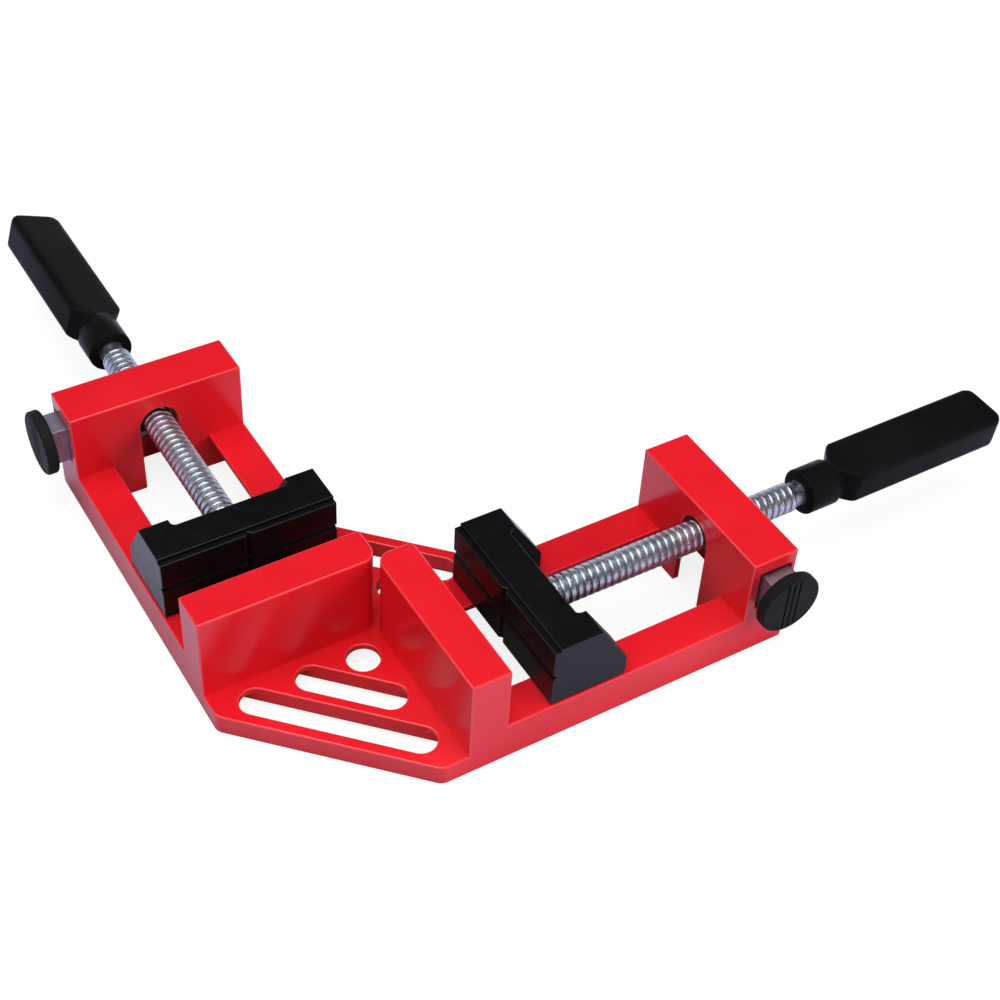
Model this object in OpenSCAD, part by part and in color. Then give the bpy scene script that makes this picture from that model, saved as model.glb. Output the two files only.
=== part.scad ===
// Corner clamp: two screw-driven jaws press two workpieces square against a fixed right-angle frame.
// Origin at the square corner on the bottom plane, +X along the right arm, +Y along the left arm, +Z up.

/* [Frame casting] */
// Width of each arm across both rails
arm_w = 70; // [68:0.5:74]
// Distance from the square corner to the inner side of each arm
corner_gap = 13.7; // [13.2:0.1:14.6]
// Distance from a fixed clamping face to its end wall
arm_len = 100; // [97:0.5:112]
// Thickness of the end walls
wall_t = 19.5; // [19:0.5:22]
// Height of the end walls
wall_h = 46; // [45.6:0.2:49]
// Height of the fixed jaws
jaw_h = 45; // [43:0.5:47]
// Thickness of the fixed jaws
jaw_t = 15.4; // [13:0.2:17]
// Corner radius of a fixed jaw on its clamping side
jaw_out_r = 2.5; // [1.5:0.5:3.5]
// Corner radius of a fixed jaw on its open side
jaw_in_r = 6; // [4:0.5:8]
// Height of the rails
rail_h = 17; // [16.6:0.1:17.6]
// Width of each rail
rail_w = 15.2; // [14:0.1:16]
// Thickness of the rail flange that the jaw grips
flange_t = 2.6; // [2.2:0.1:3]
// Thickness of the casting walls
skin = 3; // [2.6:0.1:3.2]
// Height of the base plate rim
plate_h = 8.7; // [7.5:0.1:10]
// Thickness of the base plate
plate_t = 2.8; // [2.4:0.1:3.4]
// Depth of the ribs behind the front slots
rib_h = 7.1; // [5:0.1:7.5]
// Thickness of the web behind the corner
web_t = 6.5; // [5.5:0.1:7.5]
// Distance along the diagonal from the corner to the front edge
front_reach = 77.3; // [76:0.1:79]
// Distance along the diagonal from the corner to the rear edge
rear_reach = 23.9; // [23.4:0.1:26]
// Radius of the front corners in plan
front_r = 5; // [3:0.5:7]

/* [Fixing holes] */
// Diameter of the two round holes
hole_d = 12.5; // [11:0.1:13]
// Distance along the diagonal from the corner to the front hole
hole_reach = 37; // [35.5:0.1:38]
// Width of the oblong slots
slot_w = 11.6; // [10:0.1:12]
// Length of the short slots
slot_short = 41; // [36:0.5:44]
// Length of the long slot
slot_long = 72; // [66:0.5:75]
// Distance along the diagonal to the short front slot
slot_reach = 51.4; // [51:0.1:52]
// Distance along the diagonal to the long slot
slot_far_reach = 67; // [66:0.1:67.4]
// Distance along the diagonal to the rear slot
slot_rear_reach = 13.6; // [13.2:0.1:13.8]

/* [Spindle] */
// Outside diameter of the screw thread
spindle_d = 11.7; // [11:0.1:12]
// Height of the spindle axis above the bottom
spindle_z = 31.1; // [30.6:0.1:31.6]
// Distance from the end wall to the handle
spindle_out = 29.4; // [27:0.2:34]
// Diameter of the plain journal in the jaw
journal_d = 8; // [7:0.2:8.6]
// Diameter of the tang in the handle
tang_d = 10; // [9:0.2:10.4]
// Length of the tang in the handle
tang_len = 30; // [24:1:40]
// Width of the open slot for the spindle in the end wall
throat_w = 15.4; // [14.6:0.2:15.6]
// Radial clearance of turning fits
run_fit = 0.06; // [0.04:0.01:0.09]

/* [Moving jaw] */
// Opening between fixed and moving jaw as stored
rest_gap = 17.3; // [10:0.1:24]
// Height of the moving jaw top above the bottom
mover_h = 44.8; // [44:0.1:46]
// Thickness of the moving jaw between its ears
mover_d = 15.8; // [15:0.1:17]
// Depth of the ledge along the top front edge
ledge_d = 2.3; // [1.5:0.1:3]
// Height of the ledge along the top front edge
ledge_h = 1.3; // [1:0.1:2.5]
// Depth of the V grooves in the clamping face
groove_d = 1.5; // [0.8:0.1:1.8]
// Length of the ears across the arm
ear_w = 11.6; // [10:0.1:12.4]
// Depth of the ears at their top
ear_top = 19.3; // [18:0.1:21]
// Depth of the ears at their foot
ear_foot = 31.1; // [30:0.1:33]
// Height of the ear's upright back edge
ear_back_h = 8.7; // [7:0.1:10]
// Radius of the ear's lower back corner
ear_r = 2.4; // [1:0.1:3]
// Radius of the inner corners between the ears
recess_r = 2; // [1:0.1:2.6]
// Clearance between sliding faces
slide_gap = 0.3; // [0.2:0.05:0.3]

/* [Keeper] */
// Overlap of the keeper plate under each rail flange
keeper_lap = 6; // [4:0.5:8]
// Thickness of the keeper plate
keeper_t = 3; // [2:0.1:3.4]
// Diameter of the keeper screws
screw_d = 4; // [3:0.1:4.4]

/* [Handle] */
// Diameter of the handle neck
neck_d = 18; // [16:0.2:19]
// Length of the handle neck
neck_len = 13; // [11:0.2:16]
// Length of the shoulder from the neck to the full grip
shoulder_len = 8.5; // [7:0.1:10]
// Length of the whole handle
handle_len = 92.6; // [84:0.2:105]
// Width of the grip's broad face
grip_broad = 22.4; // [21:0.2:24]
// Width of the grip's narrow face
grip_narrow = 18; // [17:0.2:19]
// Height of the broad face above the axis
grip_up = 8.4; // [7.8:0.1:9.2]
// Depth of the narrow face below the axis
grip_down = 6.6; // [6.4:0.1:7.6]
// Radius of the grip's end corners
grip_end = 3.4; // [2:0.1:5]
// Turn of the right handle from broad face up
right_turn = 0; // [0:1:359]
// Turn of the left handle from broad face up
left_turn = 339; // [0:1:359]

/* [Quick release] */
// Width of the half nut along the arm
nut_w = 11.8; // [11.4:0.1:12]
// Height of the half nut
nut_h = 15.8; // [15.4:0.1:16]
// Travel of the release button
press = 3.5; // [2.5:0.1:4]
// Distance of the cap from the arm's side
cap_out = 6.2; // [4.5:0.1:7]
// Diameter of the round cap
cap_d = 25.4; // [23:0.1:27.6]
// Thickness of the round cap
cap_t = 4.6; // [3:0.1:5.5]
// Outside diameter of the return spring
spring_d = 6.4; // [5.6:0.1:6.6]
// Wire diameter of the return spring
wire_d = 0.9; // [0.7:0.1:1]

/* [Hidden] */
$fn = 48;
ROOT2 = sqrt(2);
arm_out = corner_gap + arm_w;
mid_y = -corner_gap - arm_w / 2;
wall_in = arm_len;
wall_out = arm_len + wall_t;
flange_z = rail_h - flange_t;
jaw_back = 0.4;
jaw_end = -corner_gap - jaw_back;
spindle_r = spindle_d / 2;
journal_r = journal_d / 2;
through = 1;
front_x = arm_out - front_reach * ROOT2;
half_bend = 22.5;
front_tan = front_r * tan(half_bend);
jaw_roof = 4;
core_top = jaw_h - jaw_roof;
window_lo = rail_w - arm_out;
window_hi = -corner_gap - rail_w;
nut_shift = 1;
nut_x = wall_in + wall_t / 2 + nut_shift;
nut_gap = 0.25;
nut_z0 = spindle_z - nut_h / 2;
nut_front = nut_x - nut_w / 2;
chan_in = nut_front - nut_gap;
chan_out = nut_x + nut_w / 2 + nut_gap;
rear_skin = 3.5;
rear_lip = 0.5;
rib_t = 2.2;
chan_wall = 8;
chan_end = -corner_gap - chan_wall;
pocket_side = 1;
pocket_rise = 1;
pocket_w = nut_w + 2 * pocket_side;
pocket_h = nut_h + 2 * pocket_rise;
pocket_t = 2;
hole_clear = 0.6;
rear_hole_r = spindle_r + hole_clear;
nut_land = 4.2;
nut_inner = mid_y + spindle_r + press + nut_land;
nut_outer = -arm_out - cap_out;
nut_bore_r = spindle_r + run_fit;
press_spare = 0.3;
nut_slack = press + press_spare;
seat_clear = 0.4;
seat_d = spring_d + 2 * seat_clear;
seat_depth = 4;
spring_turns = 6;
turn_slices = 18;
spring_start = nut_inner - seat_depth;
crescent = 3;
spigot_d = 8;
spigot_len = 2;
cap_edge = 0.7;
flute_pitch = 2.5;
flute_w = 0.6;
flute_d = 0.5;
flute_rim = 1.6;
mover_inset = 0.7;
mover_lo = mover_inset - arm_out;
mover_hi = -corner_gap - slide_gap;
mover_z = rail_h + slide_gap;
foot_h = 4.7;
boss_r = 8.5;
boss_end = 18.2;
core_front = 4.5;
core_back = 11.3;
core_half = 15;
core_z = 40;
side_core_in = 18;
side_core_z = 38;
tongue_front = 3;
tongue_back = 28;
keeper_top = flange_z - slide_gap;
keeper_front = 6;
keeper_len = 20;
screw_at = 20.5;
screw_half = 12;
screw_cover = 1;
screw_tip = mover_z + foot_h - screw_cover;
head_ratio = 1.75;
screw_head_d = screw_d * head_ratio;
screw_head_h = 2.4;
washer_t = 1.2;
washer_r = 6.8;
shoulder = boss_end + slide_gap + washer_t;
ring_r = 6.2;
ring_t = 1.1;
ring_at = core_back - slide_gap - ring_t;
groove_r = 3.3;
tip_room = 2.5;
journal_tip = core_front + tip_room;
ring_mouth = 2.6;
handle_x = wall_out + spindle_out;
fit_gap = 0.05;
grip_edge = 1.4;
neck_edge = 0.8;
neck_half = 3;
neck_run = 4;

// Copies a right-arm shape onto the left arm
module left() {
  mirror([1, -1, 0]) children();
}

module both() {
  children();
  left() children();
}

// A box given by its low and high corners
module span(lo, hi) {
  translate(lo) cube(hi - lo);
}

// A shape drawn in X and Z and drawn out across the arm
module across(y0, y1) {
  translate([0, y1, 0]) rotate([90, 0, 0]) linear_extrude(y1 - y0) children();
}

// A round bar along the spindle axis
module along(x0, x1, r) {
  translate([x0, mid_y, spindle_z]) rotate([0, 90, 0]) cylinder(r = r, h = x1 - x0);
}

// A round bar along the half nut, at its own height
module along_nut(y0, y1, r) {
  translate([nut_x, y0, spindle_z]) rotate([-90, 0, 0]) cylinder(r = r, h = y1 - y0);
}

// Plan of the base plate, with its rounded front corners
module plate_plan() {
  polygon([[front_x + front_tan, -arm_out], [0, -arm_out], [0, -corner_gap],
    [rear_reach * ROOT2 + corner_gap, -corner_gap], [-corner_gap, rear_reach * ROOT2 + corner_gap],
    [-corner_gap, 0], [-arm_out, 0], [-arm_out, front_x + front_tan],
    [-arm_out + front_tan / ROOT2, front_x - front_tan / ROOT2],
    [front_x - front_tan / ROOT2, -arm_out + front_tan / ROOT2]]);
  translate([front_x + front_tan, front_r - arm_out]) circle(front_r);
  translate([front_r - arm_out, front_x + front_tan]) circle(front_r);
}

// Plan of one fixed jaw, rounded where it faces the corner
module fixed_jaw_plan() {
  straight = jaw_end - jaw_in_r + arm_out;
  translate([-jaw_t, -arm_out]) square([jaw_t, straight]);
  translate([jaw_in_r - jaw_t, jaw_end - jaw_in_r]) circle(jaw_in_r);
  translate([-jaw_out_r, jaw_end - jaw_out_r]) circle(jaw_out_r);
  translate([jaw_in_r - jaw_t, jaw_end - jaw_in_r]) square([jaw_t - jaw_in_r - jaw_out_r, jaw_in_r]);
  translate([-jaw_out_r, jaw_end - jaw_in_r]) square([jaw_out_r, jaw_in_r - jaw_out_r]);
}

// An oblong hole across the diagonal
module slot(reach, length) {
  half = (length - slot_w) / 2;
  rotate([0, 0, -45]) translate([0, reach, -through]) linear_extrude(plate_h + 2 * through) {
    translate([-half, -slot_w / 2]) square([2 * half, slot_w]);
    translate([-half, 0]) circle(slot_w / 2);
    translate([half, 0]) circle(slot_w / 2);
  }
}

module round_hole(reach) {
  rotate([0, 0, -45]) translate([0, reach, -through]) cylinder(d = hole_d, h = plate_h + 2 * through);
}

// One arm before it is hollowed: rails, fixed jaw and end wall
module arm_block() {
  span([0, -arm_out, 0], [wall_in, -corner_gap, rail_h]);
  linear_extrude(jaw_h) fixed_jaw_plan();
  span([wall_in, -arm_out, 0], [wall_out, -corner_gap, wall_h]);
}

// Hollows of one arm, all open below, and the window between its rails
module arm_hollows() {
  inner_lo = skin - arm_out;
  inner_hi = -corner_gap - skin;
  span([0, inner_lo, -through], [wall_in, inner_hi, flange_z]);
  span([0, window_lo, 0], [wall_in, window_hi, rail_h + through]);
  span([skin - jaw_t, inner_lo, -through], [-skin, inner_hi, core_top]);
  span([wall_in + skin, inner_lo, -through], [chan_out, inner_hi, nut_z0 - skin]);
  span([wall_in - through, mid_y - throat_w / 2, -through], [chan_out, mid_y + throat_w / 2, spindle_z]);
  along(wall_in - through, chan_out, throat_w / 2);
  along(wall_in, wall_out + through, rear_hole_r);
  span([chan_in, -arm_out - through, nut_z0 - nut_gap], [chan_out, chan_end, nut_z0 + nut_h + nut_gap]);
  span([nut_x - pocket_w / 2, -arm_out - through, spindle_z - pocket_h / 2],
    [nut_x + pocket_w / 2, pocket_t - arm_out, spindle_z + pocket_h / 2]);
}

// Straight ribs under the front plate, each along the rear side of a slot
module front_ribs() {
  behind_short = slot_w / 2 - slot_reach;
  behind_long = slot_w / 2 - slot_far_reach;
  between = -slot_reach - slot_w / 2;
  rotate([0, 0, -45]) {
    span([-arm_out, behind_short, plate_h - rib_h], [arm_out, behind_short + rib_t, plate_h]);
    span([-arm_out, behind_long, plate_h - rib_h], [arm_out, between, plate_h]);
  }
}

// Hollows under the front plate and under the thicker rear web
module plate_hollows() {
  front_in = skin * ROOT2 - front_reach * ROOT2;
  rear_in = (rear_reach - rear_skin) * ROOT2;
  edge = skin - arm_out;
  web_in = rear_lip - corner_gap;
  difference() {
    translate([0, 0, -through]) linear_extrude(plate_h - plate_t + through)
      polygon([[-jaw_t, edge], [-jaw_t, -jaw_t], [edge, -jaw_t], [edge, front_in - edge],
        [front_in - edge, edge]]);
    front_ribs();
  }
  translate([0, 0, -through]) linear_extrude(plate_h - web_t + through)
    polygon([[web_in, web_in], [rear_in - web_in, web_in], [web_in, rear_in - web_in]]);
}

module frame_casting() {
  color("#c8141e") difference() {
    union() {
      linear_extrude(plate_h) plate_plan();
      both() arm_block();
    }
    both() arm_hollows();
    plate_hollows();
    round_hole(0);
    round_hole(-hole_reach);
    slot(-slot_reach, slot_short);
    slot(-slot_far_reach, slot_long);
    slot(slot_rear_reach, slot_short);
  }
}

// Front edge of the moving jaw in X and Z, with ledge and V groove
function front_edge() = [[0, mover_z], [0, spindle_z - groove_d], [groove_d, spindle_z],
  [0, spindle_z + groove_d], [0, mover_h - ledge_h], [ledge_d, mover_h - ledge_h], [ledge_d, mover_h]];

module ear_side() {
  polygon(concat(front_edge(), [[ear_top, mover_h], [ear_foot, mover_z + ear_back_h],
    [ear_foot, mover_z + ear_r], [ear_foot - ear_r, mover_z]]));
  translate([ear_foot - ear_r, mover_z + ear_r]) circle(ear_r);
}

// Hollows of the moving jaw, open below, and the bores for spindle and screws
module mover_hollows() {
  span([core_front, mid_y - core_half, keeper_top - through], [core_back, mid_y + core_half, core_z]);
  for (side = [-1, 1]) {
    reach = (mover_hi - mover_lo) / 2 - skin;
    y0 = mid_y + side * side_core_in;
    y1 = (mover_lo + mover_hi) / 2 + side * reach;
    span([core_front, min(y0, y1), mover_z - through], [core_back, max(y0, y1), side_core_z]);
    translate([screw_at, mid_y + side * screw_half, keeper_top - through])
      cylinder(d = screw_d + 2 * fit_gap, h = screw_tip + fit_gap - keeper_top + through);
  }
  along(core_back - through, boss_end + through, journal_r + run_fit);
  vee = groove_d * ROOT2 / 2;
  translate([0, mid_y, 0]) rotate([0, 0, 45]) span([-vee, -vee, 0], [vee, vee, mover_h + through]);
}

// Rounded inner corners of the recess between the ears
module recess_fillets() {
  size = recess_r + through;
  for (side = [0, 1]) translate([mover_d - through, side == 0 ? mover_lo + ear_w : mover_hi - ear_w, mover_z])
    mirror([0, side, 0]) linear_extrude(mover_h - mover_z) difference() {
      translate([0, -through]) square(size);
      translate([size, recess_r]) circle(recess_r);
    }
}

module moving_jaw() {
  translate([rest_gap, 0, 0]) color("#161618") difference() {
    union() {
      across(mover_lo, mover_hi) polygon(concat(front_edge(), [[mover_d, mover_h], [mover_d, mover_z]]));
      across(mover_lo, mover_lo + ear_w) ear_side();
      across(mover_hi - ear_w, mover_hi) ear_side();
      span([mover_d - through, mover_lo + ear_w, mover_z],
        [ear_foot - ear_r, mover_hi - ear_w, mover_z + foot_h]);
      recess_fillets();
      along(mover_d - through, boss_end, boss_r);
      span([mover_d - through, mid_y - boss_r, mover_z], [boss_end, mid_y + boss_r, spindle_z]);
      span([tongue_front, window_lo + slide_gap, keeper_top], [tongue_back, window_hi - slide_gap, mover_z]);
    }
    mover_hollows();
  }
}

module keeper_plate() {
  translate([rest_gap, 0, 0]) color("#b4b6ba") difference() {
    span([keeper_front, window_lo - keeper_lap, keeper_top - keeper_t],
      [keeper_front + keeper_len, window_hi + keeper_lap, keeper_top]);
    for (side = [-1, 1]) translate([screw_at, mid_y + side * screw_half, keeper_top - keeper_t - through])
      cylinder(d = screw_d + 2 * fit_gap, h = keeper_t + 2 * through);
  }
}

module keeper_screws() {
  color("#c4c6ca") for (side = [-1, 1])
    translate([rest_gap + screw_at, mid_y + side * screw_half, keeper_top - keeper_t]) {
      cylinder(d = screw_d, h = screw_tip - keeper_top + keeper_t);
      translate([0, 0, -screw_head_h]) difference() {
        cylinder(d = screw_head_d, h = screw_head_h);
        translate([0, 0, -through]) cylinder(d = screw_d, h = screw_head_h / 2 + through, $fn = 6);
      }
    }
}

module spindle() {
  color("#c8ccd4") difference() {
    union() {
      along(rest_gap + journal_tip, rest_gap + shoulder + through, journal_r);
      along(rest_gap + shoulder, handle_x, spindle_r);
      along(handle_x - through, handle_x + tang_len, tang_d / 2);
    }
    difference() {
      along(rest_gap + ring_at - fit_gap, rest_gap + ring_at + ring_t + fit_gap, journal_r + through);
      along(rest_gap + ring_at - through, rest_gap + ring_at + ring_t + through, groove_r);
    }
  }
}

module thrust_washer() {
  color("#b8bac0") difference() {
    along(rest_gap + shoulder - washer_t, rest_gap + shoulder, washer_r);
    along(rest_gap + shoulder - washer_t - through, rest_gap + shoulder + through, journal_r + fit_gap);
  }
}

// Open ring that snaps into the groove at the spindle tip
module retaining_ring() {
  color("#4a4a4e") difference() {
    along(rest_gap + ring_at, rest_gap + ring_at + ring_t, ring_r);
    along(rest_gap + ring_at - through, rest_gap + ring_at + ring_t + through, groove_r + fit_gap);
    span([rest_gap + ring_at - through, mid_y - ring_mouth, spindle_z - ring_r - through],
      [rest_gap + ring_at + ring_t + through, mid_y + ring_mouth, spindle_z]);
  }
}

// Section of the grip: broad face up, edges broken
module grip_plan() {
  polygon([[-grip_broad / 2, grip_up - grip_edge], [grip_edge - grip_broad / 2, grip_up],
    [grip_broad / 2 - grip_edge, grip_up], [grip_broad / 2, grip_up - grip_edge],
    [grip_narrow / 2, grip_edge - grip_down], [grip_narrow / 2 - grip_edge, -grip_down],
    [grip_edge - grip_narrow / 2, -grip_down], [-grip_narrow / 2, grip_edge - grip_down]]);
}

// Plan of the grip: narrowing to the neck, rounded at the end
module grip_top() {
  half = grip_broad / 2;
  full = neck_len + shoulder_len;
  tip = handle_len - grip_end;
  polygon([[neck_len, -neck_half], [full, -half], [tip, -half], [tip, half], [full, half],
    [neck_len, neck_half]]);
  translate([full, grip_end - half]) square([handle_len - full, grip_broad - 2 * grip_end]);
  for (side = [-1, 1]) translate([tip, side * (half - grip_end)]) circle(grip_end);
}

module handle(turn) {
  neck_r = neck_d / 2;
  translate([handle_x, mid_y, spindle_z]) rotate([turn, 0, 0]) color("#1b1b1e") difference() {
    union() {
      rotate([0, 90, 0]) rotate_extrude() polygon([[0, 0], [neck_r - neck_edge, 0], [neck_r, neck_edge],
        [neck_r, neck_len], [neck_r - neck_run, neck_len + neck_run], [0, neck_len + neck_run]]);
      intersection() {
        rotate([90, 0, 90]) linear_extrude(handle_len) grip_plan();
        translate([0, 0, -grip_broad]) linear_extrude(2 * grip_broad) grip_top();
      }
    }
    translate([-through, 0, 0]) rotate([0, 90, 0]) cylinder(r = tang_d / 2 + fit_gap, h = tang_len + through);
  }
}

// Sliding nut with an oblong hole, so that pressing it frees the thread
module half_nut() {
  color("#a9abb2") difference() {
    union() {
      span([nut_front, nut_outer, nut_z0], [nut_front + nut_w, nut_inner, nut_z0 + nut_h]);
      along_nut(nut_outer - spigot_len, nut_outer + through, spigot_d / 2);
    }
    along(nut_front - through, nut_front + nut_w + through, nut_bore_r);
    translate([0, -nut_slack, 0]) along(nut_front - through, nut_front + nut_w + through, nut_bore_r);
    span([nut_front - through, mid_y - nut_slack, spindle_z - nut_bore_r],
      [nut_front + nut_w + through, mid_y, spindle_z + nut_bore_r]);
    along_nut(nut_inner - seat_depth, nut_inner + through, seat_d / 2);
  }
}

module button_cap() {
  flute_half = cap_d / 2 - flute_rim;
  color("#2a2a2c") difference() {
    translate([nut_x, nut_outer, spindle_z]) rotate([90, 0, 0]) rotate_extrude() polygon([[0, 0],
      [cap_d / 2 - cap_edge, 0], [cap_d / 2, cap_edge], [cap_d / 2, cap_t - cap_edge],
      [cap_d / 2 - cap_edge, cap_t], [0, cap_t]]);
    along_nut(nut_outer - spigot_len, nut_outer + through, spigot_d / 2 + fit_gap);
    for (k = [-1, 0, 1]) translate([nut_x + k * flute_pitch, nut_outer - cap_t, spindle_z])
      span([-flute_w / 2, -through, -flute_half], [flute_w / 2, flute_d, flute_half]);
  }
}

// Level cut through a coil of round wire: a crescent that the twist draws out into the coil
module coil_cut() {
  coil_r = (spring_d - wire_d) / 2;
  lead = atan((chan_end - spring_start) / spring_turns / (2 * PI * coil_r));
  reach = wire_d / 2 / sin(lead) / coil_r * 180 / PI;
  out_side = [for (k = [-crescent:crescent]) let (t = k / crescent)
    (coil_r + wire_d / 2 * sqrt(1 - t * t)) * [cos(t * reach), sin(t * reach)]];
  in_side = [for (k = [1 - crescent:crescent - 1]) let (t = -k / crescent)
    (coil_r - wire_d / 2 * sqrt(1 - t * t)) * [cos(t * reach), sin(t * reach)]];
  polygon(concat(out_side, in_side));
}

// Coil spring between the half nut and the blind end of its channel
module return_spring() {
  slices = turn_slices * spring_turns;
  color("#9a9ca2") translate([nut_x, spring_start, spindle_z]) rotate([-90, 0, 0])
    linear_extrude(chan_end - spring_start, twist = -360 * spring_turns, slices = slices, $fn = 8) coil_cut();
}

frame_casting();
moving_jaw();  // right_moving_jaw
keeper_plate();  // right_keeper_plate
keeper_screws();  // right_keeper_screws
spindle();  // right_spindle
thrust_washer();  // right_thrust_washer
retaining_ring();  // right_retaining_ring
handle(right_turn);  // right_handle
half_nut();  // right_half_nut
button_cap();  // right_button_cap
return_spring();  // right_return_spring
left() moving_jaw();  // left_moving_jaw
left() keeper_plate();  // left_keeper_plate
left() keeper_screws();  // left_keeper_screws
left() spindle();  // left_spindle
left() thrust_washer();  // left_thrust_washer
left() retaining_ring();  // left_retaining_ring
left() handle(left_turn);  // left_handle
left() half_nut();  // left_half_nut
left() button_cap();  // left_button_cap
left() return_spring();  // left_return_spring
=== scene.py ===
import math

import bmesh
import bpy
from mathutils import Matrix, Vector


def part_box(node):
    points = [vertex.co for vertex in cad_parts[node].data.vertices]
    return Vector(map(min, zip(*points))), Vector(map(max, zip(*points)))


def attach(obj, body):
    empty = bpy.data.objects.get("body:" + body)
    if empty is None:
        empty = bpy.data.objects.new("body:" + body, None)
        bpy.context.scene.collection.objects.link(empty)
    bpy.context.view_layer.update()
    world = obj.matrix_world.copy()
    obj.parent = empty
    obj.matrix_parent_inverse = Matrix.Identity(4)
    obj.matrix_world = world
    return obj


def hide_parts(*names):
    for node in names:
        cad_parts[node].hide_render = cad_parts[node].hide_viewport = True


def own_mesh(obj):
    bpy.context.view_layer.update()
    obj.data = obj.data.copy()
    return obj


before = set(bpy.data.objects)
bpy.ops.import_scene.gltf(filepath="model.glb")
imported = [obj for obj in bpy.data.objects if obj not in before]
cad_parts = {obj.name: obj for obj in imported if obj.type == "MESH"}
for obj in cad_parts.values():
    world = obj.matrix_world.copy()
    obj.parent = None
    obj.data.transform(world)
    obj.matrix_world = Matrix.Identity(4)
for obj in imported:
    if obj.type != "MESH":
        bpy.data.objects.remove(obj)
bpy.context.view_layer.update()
MM = 0.001
WHITE = (1.0, 1.0, 1.0)

# Camera at the photograph's place, in metres
CAMERA_AT = (-0.22528, -0.41166, 0.50798)
CAMERA_RIGHT = (0.85839031, -0.51090969, 0.04623175)
CAMERA_UP = (0.32696771, 0.61432734, 0.71811840)
CAMERA_LENS = 65.83
CAMERA_SENSOR = 36.0
CAMERA_NEAR = 0.01
CAMERA_FAR = 20.0

# Lamps: name, place, aim and width in metres, watts, whether glossy faces mirror it
LAMPS = [
    ("key", (-0.22, 0.02, 1.30), (0.06, 0.06, 0.0), 1.6, 18.8, True),
    ("front", (0.75, -0.80, 0.42), (0.04, 0.0, 0.02), 0.9, 9.3, False),
    ("side", (-0.85, -0.72, 0.55), (0.0, 0.0, 0.02), 0.9, 2.8, False),
]

# Floor and sky: what lights the part, and what the camera and mirroring faces see
FLOOR_HALF = 6.0
FLOOR_BOUNCE = (0.45, 0.45, 0.46)
FLOOR_SHADE = (0.22, 0.22, 0.22)
FLOOR_GLOW_NEAR = 0.85
FLOOR_GLOW_FAR = 1.0
FLOOR_GLOW_SPAN = (0.5, 1.6)
# the floor as mirrors see it: painted shade below the part, reaching this far, and bluish white in the open
FLOOR_PAINTED_SHADE_REACH = 0.12
FLOOR_OPEN_SPAN = (0.35, 0.95)
MIRRORED_PAINTED_SHADE = (0.04, 0.02, 0.02)
MIRRORED_OPEN = (0.72, 0.74, 1.15)
SKY_LIGHT = (0.95, 0.97, 1.0)
SKY_LIGHT_STRENGTH = 0.05
SKY_DARK = (0.07, 0.07, 0.08)
SKY_SPAN = (0.05, 0.55)

# Texture scales, in features to the metre, and the depth of relief in metres
ENAMEL_DRIFT = 22.0
ENAMEL_GLOSS = 160.0
PEEL_FINE = 420.0
PEEL_FINE_DEPTH = 0.0002
PEEL_WAVE = 55.0
PEEL_WAVE_DEPTH = 0.0006
PEEL_WAVE_SHARE = 1.6
PLATE_DRIFT = 130.0
SPECK_SHARE = 1.7
PLASTIC_DRIFT = 35.0
PLASTIC_GLOSS = 90.0
GRAIN_DEPTH = 0.0001

# Noise values between which a colour or a gloss changes over
DRIFT_SPAN = (0.35, 0.65)
WORN_SPAN = (0.35, 0.75)
PATCH_SPAN = (0.3, 0.7)
SPECK_SPAN = (0.36, 0.44)

# How far roughness goes below and above the value that is given
ENAMEL_SPREAD = (0.04, 0.06)
PLATE_SPREAD = (0.08, 0.12)
PLASTIC_SPREAD = (0.06, 0.08)
PAINT_IOR = 1.5

# Angles between faces, in degrees: what counts as flat, as an edge to break and as a crease
FLAT_BEND = 0.4
EDGE_BEND = 30.0
CREASE_BEND = 38.0

# How far outer edges are broken, in millimetres
EDGE_BREAK = {"frame_casting": 0.6, "moving_jaw": 0.35, "keeper_plate": 0.3, "keeper_screws": 0.25,
              "thrust_washer": 0.15, "retaining_ring": 0.1, "half_nut": 0.35, "button_cap": 0.3}
EDGE_SEGMENTS = 3

# Spindle, in millimetres: the solid's sizes, and the thread that the solid leaves plain
SPINDLE_Y = -48.7
SPINDLE_Z = 31.1
THREAD_PITCH = 3.0
THREAD_OUT_R = 5.85
THREAD_ROOT_R = 4.95
THREAD_FADE = 1.0
CREST_POWER = 4.5
SWAGE_R = 4.85
SWAGE_LEN = 4.6
SWAGE_RAMP = 0.5
JOURNAL_R = 4.0
JOURNAL_EDGE = 0.4
TANG_R = 5.0
TANG_LEN = 30.0
TANG_STEP = 0.2

# Handle, in millimetres: the solid's sizes, with a grip that is rounder and less tapered
NECK_R = 9.0
NECK_LEN = 13.0
NECK_EDGE = 0.9
NECK_FADE = 0.5
SHOULDER_LEN = 8.5
SHOULDER_HALF = 3.0
GRIP_HALF = 11.2
GRIP_TAPER = 0.90
GRIP_UP = 8.4
GRIP_DOWN = 6.6
GRIP_END_R = 4.2
GRIP_EDGE_R = 1.3
EDGE_POWER = 9.0
BLEND_POWER = 14.0
HANDLE_TURN = {"right": 0.0, "left": 339.0}

# Fineness of the meshes made here
TURN_POINTS = 40
PITCH_POINTS = 14
LATHE_POINTS = 48
LOFT_POINTS = 96
NECK_STEPS = 4
SHOULDER_STEPS = 12
END_STEPS = 8
WELD_GAP_M = 2e-6
JOIN_GAP = 1e-4
SLIVER = 1e-5


def tree_of(name):
    mat = bpy.data.materials.new(name)
    mat.use_nodes = True
    nodes, links = mat.node_tree.nodes, mat.node_tree.links
    shader = nodes["Principled BSDF"]
    place = nodes.new("ShaderNodeTexCoord").outputs["Object"]
    return mat, nodes, links, shader, place


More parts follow.
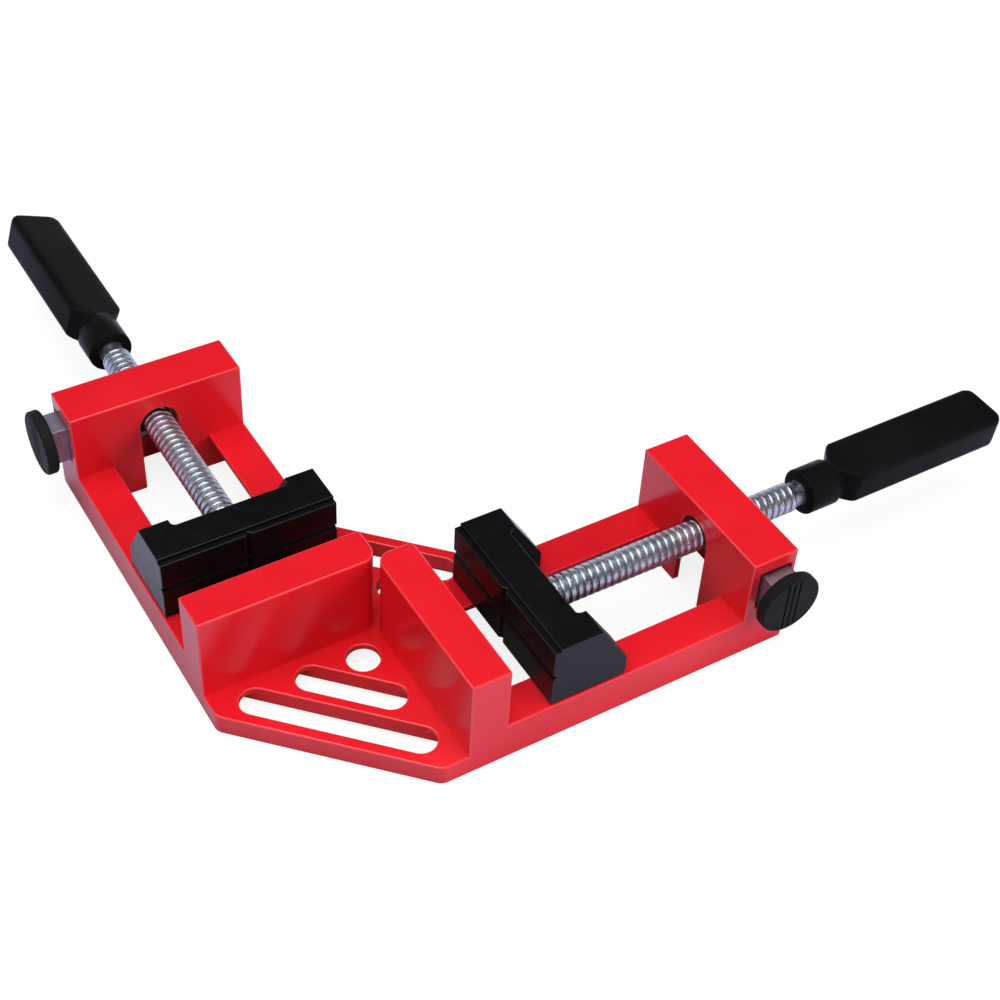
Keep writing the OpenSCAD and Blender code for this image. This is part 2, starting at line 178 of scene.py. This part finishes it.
def noise(nodes, links, place, scale, detail=3.0, rough=0.55):
    tex = nodes.new("ShaderNodeTexNoise")
    tex.inputs["Scale"].default_value = scale
    tex.inputs["Detail"].default_value = detail
    tex.inputs["Roughness"].default_value = rough
    links.new(place, tex.inputs["Vector"])
    return tex.outputs["Fac"]


def remap(nodes, links, value, span, to_low=0.0, to_high=1.0):
    """A value that runs from one number to another as the given one crosses a span."""
    node = nodes.new("ShaderNodeMapRange")
    for key, number in zip(("From Min", "From Max", "To Min", "To Max"), (*span, to_low, to_high)):
        node.inputs[key].default_value = number
    links.new(value, node.inputs["Value"])
    return node.outputs["Result"]


def uneven(nodes, links, value, rough, spread):
    """Roughness that varies about the one that is given."""
    return remap(nodes, links, value, PATCH_SPAN, rough - spread[0], rough + spread[1])


def mixed(nodes, links, factor, one, two):
    """A colour between two, each a constant or a node's output."""
    node = nodes.new("ShaderNodeMix")
    node.data_type = "RGBA"
    links.new(factor, node.inputs["Factor"])
    for key, colour in ((6, one), (7, two)):
        if isinstance(colour, tuple):
            node.inputs[key].default_value = (*colour, 1.0)
        else:
            links.new(colour, node.inputs[key])
    return node.outputs[2]


def bumped(nodes, links, shader, heights):
    """Relief from several (height, strength, depth) layers."""
    last = None
    for height, strength, distance in heights:
        node = nodes.new("ShaderNodeBump")
        node.inputs["Strength"].default_value = strength
        node.inputs["Distance"].default_value = distance
        links.new(height, node.inputs["Height"])
        if last:
            links.new(last, node.inputs["Normal"])
        last = node.outputs["Normal"]
    links.new(last, shader.inputs["Normal"])


def enamel(name, base, deep, gloss, peel, sheen):
    """Stoved paint over a casting: slight colour drift, uneven gloss and orange peel."""
    mat, nodes, links, shader, place = tree_of(name)
    drift = remap(nodes, links, noise(nodes, links, place, ENAMEL_DRIFT), DRIFT_SPAN)
    links.new(mixed(nodes, links, drift, base, deep), shader.inputs["Base Color"])
    patches = noise(nodes, links, place, ENAMEL_GLOSS)
    links.new(uneven(nodes, links, patches, gloss, ENAMEL_SPREAD), shader.inputs["Roughness"])
    fine = noise(nodes, links, place, PEEL_FINE, 1.0)
    wave = noise(nodes, links, place, PEEL_WAVE, 2.0)
    bumped(nodes, links, shader, [(fine, peel, PEEL_FINE_DEPTH),
                                  (wave, peel * PEEL_WAVE_SHARE, PEEL_WAVE_DEPTH)])
    shader.inputs["IOR"].default_value = PAINT_IOR
    shader.inputs["Specular IOR Level"].default_value = sheen
    return mat


def plated(name, base, tint, rough, grain, relief, speck):
    """Bright zinc on steel: bluish drift, fine rolling marks and dark specks."""
    mat, nodes, links, shader, place = tree_of(name)
    drift = remap(nodes, links, noise(nodes, links, place, PLATE_DRIFT), DRIFT_SPAN)
    body = mixed(nodes, links, drift, base, tint)
    marks = noise(nodes, links, place, grain, 4.0, 0.6)
    dots = noise(nodes, links, place, grain * SPECK_SHARE, 2.0, 0.5)
    specks = remap(nodes, links, dots, SPECK_SPAN, 1.0, 0.0)
    dark = tuple(speck * part for part in tint)
    links.new(mixed(nodes, links, specks, body, dark), shader.inputs["Base Color"])
    links.new(uneven(nodes, links, marks, rough, PLATE_SPREAD), shader.inputs["Roughness"])
    shader.inputs["Metallic"].default_value = 1.0
    bumped(nodes, links, shader, [(marks, relief, GRAIN_DEPTH)])
    return mat


def moulded(name, base, worn, rough, grain, relief, ior):
    """Moulded plastic: fine spark-eroded grain, with patches rubbed a little paler."""
    mat, nodes, links, shader, place = tree_of(name)
    drift = remap(nodes, links, noise(nodes, links, place, PLASTIC_DRIFT), WORN_SPAN)
    links.new(mixed(nodes, links, drift, base, worn), shader.inputs["Base Color"])
    patches = noise(nodes, links, place, PLASTIC_GLOSS)
    links.new(uneven(nodes, links, patches, rough, PLASTIC_SPREAD), shader.inputs["Roughness"])
    bumped(nodes, links, shader, [(noise(nodes, links, place, grain, 2.0), relief, GRAIN_DEPTH)])
    shader.inputs["IOR"].default_value = ior
    return mat


RED = enamel("red_enamel", base=(0.80, 0.012, 0.022), deep=(0.74, 0.009, 0.018),
             gloss=0.17, peel=0.04, sheen=0.5)
# paler red on the broken edges of the casting: a painted highlight along the edges
RED_PAINTED_HIGHLIGHT = enamel("red_enamel_painted_highlight", base=(0.90, 0.038, 0.048), deep=(0.85, 0.028, 0.038),
                  gloss=0.12, peel=0.03, sheen=0.6)
BLACK = enamel("black_enamel", base=(0.0030, 0.0030, 0.0036), deep=(0.0045, 0.0045, 0.0052),
               gloss=0.22, peel=0.08, sheen=0.20)
# paler black on the broken edges of the jaws: a painted highlight along the edges
BLACK_PAINTED_HIGHLIGHT = enamel("black_enamel_painted_highlight", base=(0.006, 0.006, 0.007), deep=(0.009, 0.009, 0.010),
                    gloss=0.18, peel=0.06, sheen=0.3)
ZINC = plated("zinc_plate", base=(0.62, 0.67, 0.73), tint=(0.46, 0.51, 0.58),
              rough=0.34, grain=900.0, relief=0.45, speck=0.45)
ALLOY = plated("zinc_casting", base=(0.37, 0.36, 0.45), tint=(0.30, 0.29, 0.38),
               rough=0.46, grain=600.0, relief=0.14, speck=0.88)
SPRING = plated("spring_wire", base=(0.35, 0.35, 0.37), tint=(0.28, 0.28, 0.30),
                rough=0.35, grain=500.0, relief=0.12, speck=0.7)
GRIP = moulded("black_grip", base=(0.0050, 0.0050, 0.0058), worn=(0.0080, 0.0080, 0.0092),
               rough=0.29, grain=1400.0, relief=0.14, ior=1.09)
CAP = moulded("cap_grip", base=(0.0095, 0.0095, 0.011), worn=(0.015, 0.015, 0.017),
              rough=0.48, grain=1600.0, relief=0.14, ior=1.12)


def dress(obj, mat):
    obj.data.materials.clear()
    obj.data.materials.append(mat)


def welded(node):
    """A bmesh of a node's own faces, joined at their edges and with flat faces made whole."""
    bm = bmesh.new()
    bm.from_mesh(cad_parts[node].data)
    bmesh.ops.remove_doubles(bm, verts=bm.verts, dist=WELD_GAP_M)
    bmesh.ops.dissolve_limit(bm, angle_limit=math.radians(FLAT_BEND), verts=bm.verts, edges=bm.edges)
    return bm


def bend_of(edge):
    """Degrees between an edge's two faces, above 0 where the edge stands out and below 0 in a corner."""
    return math.degrees(edge.calc_face_angle_signed(0.0)) if len(edge.link_faces) == 2 else 0.0


def creased(bm):
    for face in bm.faces:
        face.smooth = True
    for edge in bm.edges:
        edge.smooth = abs(bend_of(edge)) < CREASE_BEND


def rounded(bm, width, highlight_paint):
    """Breaks the outer edges to a small radius, as casting leaves them, and creases the rest; where asked,
    the rounds take the second paint slot, a paler paint that is a painted highlight along the edges.
    """
    edges = [edge for edge in bm.edges if bend_of(edge) > EDGE_BEND]
    # where asked, the rounds get paint slot 1: a paler paint that is a painted highlight
    bmesh.ops.bevel(bm, geom=edges, offset=width * MM, offset_type="OFFSET", segments=EDGE_SEGMENTS,
                    profile=0.5, affect="EDGES", clamp_overlap=False, material=1 if highlight_paint else -1)
    creased(bm)


def piece(name, bm, mat, body, nodes):
    mesh = bpy.data.meshes.new(name)
    bm.to_mesh(mesh)
    bm.free()
    obj = bpy.data.objects.new(name, mesh)
    bpy.context.scene.collection.objects.link(obj)
    mesh.materials.append(mat)
    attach(obj, body)
    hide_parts(*nodes)
    return obj


def carried(node, mat, body, width, edge=None):
    """A node's own form with broken edges, which can carry a paler paint of their own: a painted highlight
    along the edges.
    """
    bm = welded(node)
    rounded(bm, width, edge is not None)
    obj = piece(node + "_body", bm, mat, body, [node])
    if edge:
        obj.data.materials.append(edge)
    even = obj.modifiers.new("shading", "WEIGHTED_NORMAL")
    even.keep_sharp = True
    even.weight = 100
    return obj


def thread_profile(t):
    """Radius of a rolled thread at the share t of its pitch: broad round crests, narrow roots."""
    off_crest = abs(2.0 * (t % 1.0) - 1.0)
    return THREAD_ROOT_R + (THREAD_OUT_R - THREAD_ROOT_R) * (1.0 - off_crest ** CREST_POWER)


def threaded(bm, start, end):
    """A right-hand thread along +X between two places, in millimetres about the axis."""
    count = int((end - start) / THREAD_PITCH + 2) * PITCH_POINTS
    lines = []
    for j in range(TURN_POINTS):
        angle = 2 * math.pi * j / TURN_POINTS
        line = []
        for m in range(-PITCH_POINTS, count + 1):
            x = start + THREAD_PITCH * (m / PITCH_POINTS + angle / (2 * math.pi))
            r = thread_profile(m / PITCH_POINTS)
            share = min(1.0, max(0.0, min(x - start, end - x) / THREAD_FADE))
            r = THREAD_ROOT_R + (r - THREAD_ROOT_R) * share
            x = min(max(x, start), end)
            line.append(bm.verts.new((x, r * math.sin(angle), r * math.cos(angle))))
        lines.append(line)
    for j in range(TURN_POINTS):
        here, there = lines[j], lines[(j + 1) % TURN_POINTS]
        shift = 0 if j + 1 < TURN_POINTS else PITCH_POINTS
        for m in range(len(here) - 1):
            if m + 1 + shift < len(there):
                bm.faces.new((here[m], here[m + 1], there[m + 1 + shift], there[m + shift]))
    bmesh.ops.remove_doubles(bm, verts=bm.verts, dist=JOIN_GAP)
    bmesh.ops.dissolve_degenerate(bm, edges=bm.edges, dist=SLIVER)
    loose = [v for v in bm.verts if not v.link_faces]
    bmesh.ops.delete(bm, geom=loose, context="VERTS")


def lathe(bm, points):
    """A closed turned form about X from (x, r) points, in millimetres."""
    angles = [2 * math.pi * k / LATHE_POINTS for k in range(LATHE_POINTS)]
    rings = []
    for x, r in points:
        if r == 0:
            rings.append([bm.verts.new((x, 0.0, 0.0))])
        else:
            rings.append([bm.verts.new((x, r * math.sin(a), r * math.cos(a))) for a in angles])
    for a, b in zip(rings, rings[1:]):
        for k in range(LATHE_POINTS):
            n = (k + 1) % LATHE_POINTS
            if len(a) == 1:
                bm.faces.new((a[0], b[n], b[k]))
            elif len(b) == 1:
                bm.faces.new((a[k], a[n], b[0]))
            else:
                bm.faces.new((a[k], a[n], b[n], b[k]))


def to_arm(bm, side):
    """From millimetres about the spindle axis along X to the place on the right or left arm, in metres."""
    bmesh.ops.transform(bm, verts=bm.verts, matrix=Matrix.Translation((0, SPINDLE_Y, SPINDLE_Z)))
    bmesh.ops.transform(bm, verts=bm.verts, matrix=Matrix.Scale(MM, 4))
    if side == "left":
        swap = Matrix(((0, 1, 0, 0), (1, 0, 0, 0), (0, 0, 1, 0), (0, 0, 0, 1)))
        bmesh.ops.transform(bm, verts=bm.verts, matrix=swap)
    bmesh.ops.recalc_face_normals(bm, faces=bm.faces)


def spindle(side):
    low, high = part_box(f"{side}_spindle")
    axis = 0 if side == "right" else 1
    tip, tail = low[axis] / MM, high[axis] / MM
    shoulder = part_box(f"{side}_thrust_washer")[1][axis] / MM
    handle_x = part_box(f"{side}_handle")[0][axis] / MM
    thread_end = handle_x - SWAGE_LEN
    bm = bmesh.new()
    threaded(bm, shoulder, thread_end)
    if side == "left":
        # the placing on the left arm turns the hand of the thread, so it is mirrored first
        bmesh.ops.scale(bm, vec=(1, -1, 1), verts=bm.verts)
    lathe(bm, [(tip, 0), (tip, JOURNAL_R - JOURNAL_EDGE), (tip + JOURNAL_EDGE, JOURNAL_R),
               (shoulder, JOURNAL_R), (shoulder, THREAD_ROOT_R)])
    lathe(bm, [(thread_end, THREAD_ROOT_R), (thread_end + SWAGE_RAMP, SWAGE_R),
               (handle_x + TANG_STEP, SWAGE_R), (handle_x + TANG_STEP, TANG_R), (tail, TANG_R), (tail, 0)])
    bmesh.ops.remove_doubles(bm, verts=bm.verts, dist=JOIN_GAP)
    to_arm(bm, side)
    creased(bm)
    return piece(f"{side}_screw", bm, ZINC, f"{side}_spindle", [f"{side}_spindle"])


def grip_radius(angle, half, side_in=0.0, flat_in=0.0):
    """Distance from the axis to the grip's four-sided section with its edges softened."""
    y, z = math.sin(angle), math.cos(angle)
    tall = GRIP_UP + GRIP_DOWN
    lean = half * (GRIP_TAPER - 1.0)
    run = math.hypot(tall, lean)
    side = (tall * half + lean * GRIP_UP) / run - side_in
    planes = [(0.0, 1.0, GRIP_UP - flat_in), (0.0, -1.0, GRIP_DOWN - flat_in),
              (tall / run, lean / run, side), (-tall / run, lean / run, side)]
    total = sum((max(0.0, ny * y + nz * z) / reach) ** EDGE_POWER for ny, nz, reach in planes)
    return total ** (-1.0 / EDGE_POWER)


def rounding(radius, share):
    """How far a quarter round has come in at a share of its length."""
    return radius * (1.0 - math.sqrt(1.0 - share * share))


def shoulder_radius(angle, half, inner):
    """Distance from the axis to the grip's section and the round neck, blended."""
    return (grip_radius(angle, half) ** BLEND_POWER + inner ** BLEND_POWER) ** (1.0 / BLEND_POWER)


def grip_rings(length):
    """Stations of the handle as (x, radius by angle): bore, neck, shoulder, grip and rounded end."""
    rings = [(TANG_LEN, lambda a: TANG_R), (0.0, lambda a: TANG_R)]
    for k in range(NECK_STEPS + 1):
        share = k / NECK_STEPS
        rings.append((NECK_EDGE * share, lambda a, t=1.0 - share: NECK_R - rounding(NECK_EDGE, t)))
    for k in range(SHOULDER_STEPS + 1):
        share = k / SHOULDER_STEPS
        eased = share * share * (3.0 - 2.0 * share)
        half = SHOULDER_HALF + (GRIP_HALF - SHOULDER_HALF) * eased
        inner = NECK_R * (1.0 - NECK_FADE * share)
        rings.append((NECK_LEN + SHOULDER_LEN * share,
                      lambda a, h=half, n=inner: shoulder_radius(a, h, n)))
    for k in range(END_STEPS + 1):
        share = math.sin(k / END_STEPS * math.pi / 2)
        flat_share = max(0.0, 1.0 - (1.0 - share) * GRIP_END_R / GRIP_EDGE_R)
        side_in, flat_in = rounding(GRIP_END_R, share), rounding(GRIP_EDGE_R, flat_share)
        rings.append((length - GRIP_END_R * (1.0 - share),
                      lambda a, s=side_in, f=flat_in: grip_radius(a, GRIP_HALF, s, f)))
    return rings


def loft(bm, rings):
    """A closed skin over rings about X, in millimetres."""
    angles = [2 * math.pi * k / LOFT_POINTS for k in range(LOFT_POINTS)]
    skin = [[bm.verts.new((x, r(a) * math.sin(a), r(a) * math.cos(a))) for a in angles] for x, r in rings]
    for here, there in zip(skin, skin[1:]):
        for k in range(LOFT_POINTS):
            n = (k + 1) % LOFT_POINTS
            bm.faces.new((here[k], here[n], there[n], there[k]))
    bm.faces.new(skin[0])
    bm.faces.new(reversed(skin[-1]))


def handle(side):
    low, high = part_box(f"{side}_handle")
    axis = 0 if side == "right" else 1
    bm = bmesh.new()
    loft(bm, grip_rings((high[axis] - low[axis]) / MM))
    bmesh.ops.rotate(bm, verts=bm.verts, cent=(0, 0, 0),
                     matrix=Matrix.Rotation(math.radians(HANDLE_TURN[side]), 3, "X"))
    bmesh.ops.translate(bm, verts=bm.verts, vec=(low[axis] / MM, 0, 0))
    to_arm(bm, side)
    creased(bm)
    return piece(f"{side}_paddle", bm, GRIP, f"{side}_spindle", [f"{side}_handle"])


def return_spring(side):
    """The coil in its seat, with a mesh of its own."""
    node = f"{side}_return_spring"
    bm = bmesh.new()
    bm.from_mesh(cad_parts[node].data)
    creased(bm)
    coil = piece(node + "_body", bm, SPRING, "frame", [node])
    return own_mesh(coil)


# the casting's rounded edges carry the paler red: a painted highlight
carried("frame_casting", RED, "frame", EDGE_BREAK["frame_casting"], edge=RED_PAINTED_HIGHLIGHT)
for side in ("right", "left"):
    jaw, turn, button = f"{side}_jaw", f"{side}_spindle", f"{side}_button"
    # the jaw's rounded edges carry the paler black: a painted highlight
    carried(f"{side}_moving_jaw", BLACK, jaw, EDGE_BREAK["moving_jaw"], edge=BLACK_PAINTED_HIGHLIGHT)
    carried(f"{side}_keeper_plate", ZINC, jaw, EDGE_BREAK["keeper_plate"])
    carried(f"{side}_keeper_screws", ZINC, jaw, EDGE_BREAK["keeper_screws"])
    spindle(side)
    carried(f"{side}_thrust_washer", ZINC, turn, EDGE_BREAK["thrust_washer"])
    carried(f"{side}_retaining_ring", SPRING, turn, EDGE_BREAK["retaining_ring"])
    handle(side)
    carried(f"{side}_half_nut", ALLOY, button, EDGE_BREAK["half_nut"])
    carried(f"{side}_button_cap", CAP, button, EDGE_BREAK["button_cap"])
    return_spring(side)


def most(nodes, links, one, two):
    node = nodes.new("ShaderNodeMath")
    node.operation = "MAXIMUM"
    links.new(one, node.inputs[0])
    links.new(two, node.inputs[1])
    return node.outputs[0]


def seen(nodes, links):
    """1 for rays from camera, mirrors and glass and 0 for rays of light, then 1 for the camera's alone."""
    path = nodes.new("ShaderNodeLightPath")
    mirrored = most(nodes, links, path.outputs["Is Glossy Ray"], path.outputs["Is Transmission Ray"])
    return most(nodes, links, path.outputs["Is Camera Ray"], mirrored), path.outputs["Is Camera Ray"]


def floor_material():
    """White where the camera sees it, with a faint shadow, and darkened below the part where it is
    mirrored: a painted shade.
    """
    mat = bpy.data.materials.new("pale_floor")
    mat.use_nodes = True
    nodes, links = mat.node_tree.nodes, mat.node_tree.links
    nodes.clear()
    out = nodes.new("ShaderNodeOutputMaterial")
    bounce = nodes.new("ShaderNodeBsdfDiffuse")
    bounce.inputs["Color"].default_value = (*FLOOR_BOUNCE, 1)
    shade = nodes.new("ShaderNodeBsdfDiffuse")
    shade.inputs["Color"].default_value = (*FLOOR_SHADE, 1)
    glow = nodes.new("ShaderNodeEmission")
    away = nodes.new("ShaderNodeVectorMath")
    away.operation = "LENGTH"
    links.new(nodes.new("ShaderNodeTexCoord").outputs["Object"], away.inputs[0])
    strength = remap(nodes, links, away.outputs["Value"], FLOOR_GLOW_SPAN, FLOOR_GLOW_NEAR, FLOOR_GLOW_FAR)
    links.new(strength, glow.inputs["Strength"])
    shown, direct = seen(nodes, links)
    # painted shade: ambient occlusion darkens the floor that mirrors show below the part
    painted_shade_ao = nodes.new("ShaderNodeAmbientOcclusion")
    painted_shade_ao.inputs["Distance"].default_value = FLOOR_PAINTED_SHADE_REACH
    open_sky = remap(nodes, links, painted_shade_ao.outputs["AO"], FLOOR_OPEN_SPAN)
    mirrored = mixed(nodes, links, open_sky, MIRRORED_PAINTED_SHADE, MIRRORED_OPEN)
    links.new(mixed(nodes, links, direct, mirrored, WHITE), glow.inputs["Color"])
    both = nodes.new("ShaderNodeAddShader")
    links.new(shade.outputs[0], both.inputs[0])
    links.new(glow.outputs[0], both.inputs[1])
    mix = nodes.new("ShaderNodeMixShader")
    links.new(shown, mix.inputs[0])
    links.new(bounce.outputs[0], mix.inputs[1])
    links.new(both.outputs[0], mix.inputs[2])
    links.new(mix.outputs[0], out.inputs["Surface"])
    return mat


def make_floor():
    mesh = bpy.data.meshes.new("floor")
    bm = bmesh.new()
    bmesh.ops.create_grid(bm, x_segments=1, y_segments=1, size=FLOOR_HALF)
    bm.to_mesh(mesh)
    bm.free()
    floor = bpy.data.objects.new("floor", mesh)
    bpy.context.scene.collection.objects.link(floor)
    dress(floor, floor_material())


def make_world():
    """A dim sky for light, which mirrors and camera see as white at the horizon and dark above."""
    world = bpy.data.worlds.new("studio")
    bpy.context.scene.world = world
    world.use_nodes = True
    nodes, links = world.node_tree.nodes, world.node_tree.links
    nodes.clear()
    out = nodes.new("ShaderNodeOutputWorld")
    light = nodes.new("ShaderNodeBackground")
    light.inputs["Color"].default_value = (*SKY_LIGHT, 1)
    light.inputs["Strength"].default_value = SKY_LIGHT_STRENGTH
    show = nodes.new("ShaderNodeBackground")
    show.inputs["Strength"].default_value = 1.0
    split = nodes.new("ShaderNodeSeparateXYZ")
    links.new(nodes.new("ShaderNodeTexCoord").outputs["Generated"], split.inputs[0])
    up = remap(nodes, links, split.outputs["Z"], SKY_SPAN)
    links.new(mixed(nodes, links, up, WHITE, SKY_DARK), show.inputs["Color"])
    mix = nodes.new("ShaderNodeMixShader")
    links.new(seen(nodes, links)[0], mix.inputs[0])
    links.new(light.outputs[0], mix.inputs[1])
    links.new(show.outputs[0], mix.inputs[2])
    links.new(mix.outputs[0], out.inputs["Surface"])


def lamp(name, at, target, size, power, mirrored):
    data = bpy.data.lights.new(name, "AREA")
    data.shape = "DISK"
    data.size = size
    data.energy = power
    obj = bpy.data.objects.new(name, data)
    obj.location = at
    obj.rotation_euler = (Vector(target) - Vector(at)).to_track_quat("-Z", "Y").to_euler()
    obj.visible_glossy = mirrored
    bpy.context.scene.collection.objects.link(obj)


def make_camera():
    data = bpy.data.cameras.new("camera")
    data.lens = CAMERA_LENS
    data.sensor_width = CAMERA_SENSOR
    data.clip_start, data.clip_end = CAMERA_NEAR, CAMERA_FAR
    cam = bpy.data.objects.new("camera", data)
    right, up = Vector(CAMERA_RIGHT), Vector(CAMERA_UP)
    back = right.cross(up)
    cam.matrix_world = Matrix(((right.x, up.x, back.x, CAMERA_AT[0]), (right.y, up.y, back.y, CAMERA_AT[1]),
                               (right.z, up.z, back.z, CAMERA_AT[2]), (0, 0, 0, 1)))
    bpy.context.scene.collection.objects.link(cam)
    bpy.context.scene.camera = cam


make_floor()
make_world()
for row in LAMPS:
    lamp(*row)
make_camera()
bpy.context.scene.view_settings.view_transform = "Standard"
